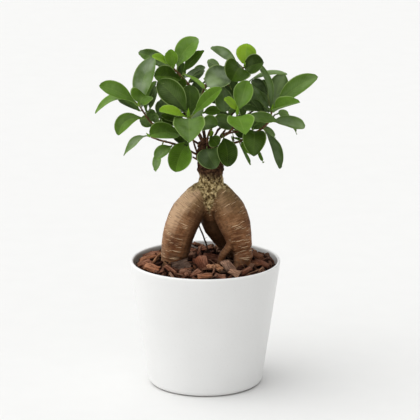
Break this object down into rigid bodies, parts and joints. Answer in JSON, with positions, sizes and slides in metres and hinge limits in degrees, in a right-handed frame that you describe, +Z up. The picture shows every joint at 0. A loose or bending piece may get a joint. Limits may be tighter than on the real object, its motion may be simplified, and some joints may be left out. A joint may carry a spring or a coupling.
{
  "type": "ficus ginseng bonsai",
  "caption": "Ficus ginseng bonsai with swollen aerial-root legs and a leafy grafted crown, rooted in soil under bark mulch in a tapered white ceramic pot.",
  "frame": {"origin": "centre of the pot's flat underside, which the plant stands on", "axes": "+Z up along the pot's axis; -Y towards the front, where the two fat legs stand side by side; +X to the right of someone who faces the front"},
  "size_m": [0.2023, 0.1394, 0.3264],
  "materials": {
    "white_glaze": "satin white glaze",
    "soil": "dark damp potting soil",
    "bark_chips": "rough red-brown bark chips",
    "root_skin": "smooth tan-brown bark with pale lenticels",
    "twig_bark": "rough brown twig bark",
    "leaf": "satin green leaf"
  },
  "bodies": {
    "root": {"pot": "white_glaze", "potting_soil": "soil", "bark_mulch": "bark_chips", "trunk": "root_skin", "aerial_root": "root_skin", "leader_stem": "twig_bark", "branch_back_left": "twig_bark", "branch_back_right": "twig_bark", "branch_far_left": "twig_bark", "branch_far_right": "twig_bark", "branch_front_left": "twig_bark", "branch_front_right": "twig_bark", "branch_low_front": "twig_bark", "branch_low_left": "twig_bark", "leaf_far_left_1": "leaf", "leaf_far_left_2": "leaf", "leaf_far_left_3": "leaf", "leaf_far_left_4": "leaf", "leaf_far_left_5": "leaf", "leaf_far_left_6": "leaf", "leaf_far_left_7": "leaf", "leaf_far_left_8": "leaf", "leaf_far_left_9": "leaf", "leaf_far_left_10": "leaf", "leaf_far_right_1": "leaf", "leaf_far_right_2": "leaf", "leaf_far_right_3": "leaf", "leaf_far_right_4": "leaf", "leaf_far_right_5": "leaf", "leaf_far_right_6": "leaf", "leaf_far_right_7": "leaf", "leaf_far_right_8": "leaf", "leaf_front_left_1": "leaf", "leaf_front_left_2": "leaf", "leaf_front_left_3": "leaf", "leaf_front_left_4": "leaf", "leaf_front_left_5": "leaf", "leaf_front_left_6": "leaf", "leaf_front_right_1": "leaf", "leaf_front_right_2": "leaf", "leaf_front_right_3": "leaf", "leaf_low_front_left_1": "leaf", "leaf_low_front_left_2": "leaf", "leaf_low_front_right_1": "leaf", "leaf_low_left_1": "leaf", "leaf_low_left_2": "leaf", "leaf_low_left_3": "leaf", "leaf_top_left_1": "leaf", "leaf_top_left_2": "leaf", "leaf_top_left_3": "leaf", "leaf_top_left_4": "leaf", "leaf_top_left_5": "leaf", "leaf_top_left_6": "leaf", "leaf_top_left_7": "leaf", "leaf_top_right_1": "leaf", "leaf_top_right_2": "leaf", "leaf_top_right_3": "leaf", "leaf_top_right_4": "leaf", "leaf_top_right_5": "leaf", "leaf_top_right_6": "leaf"}
  },
  "joints": []
}
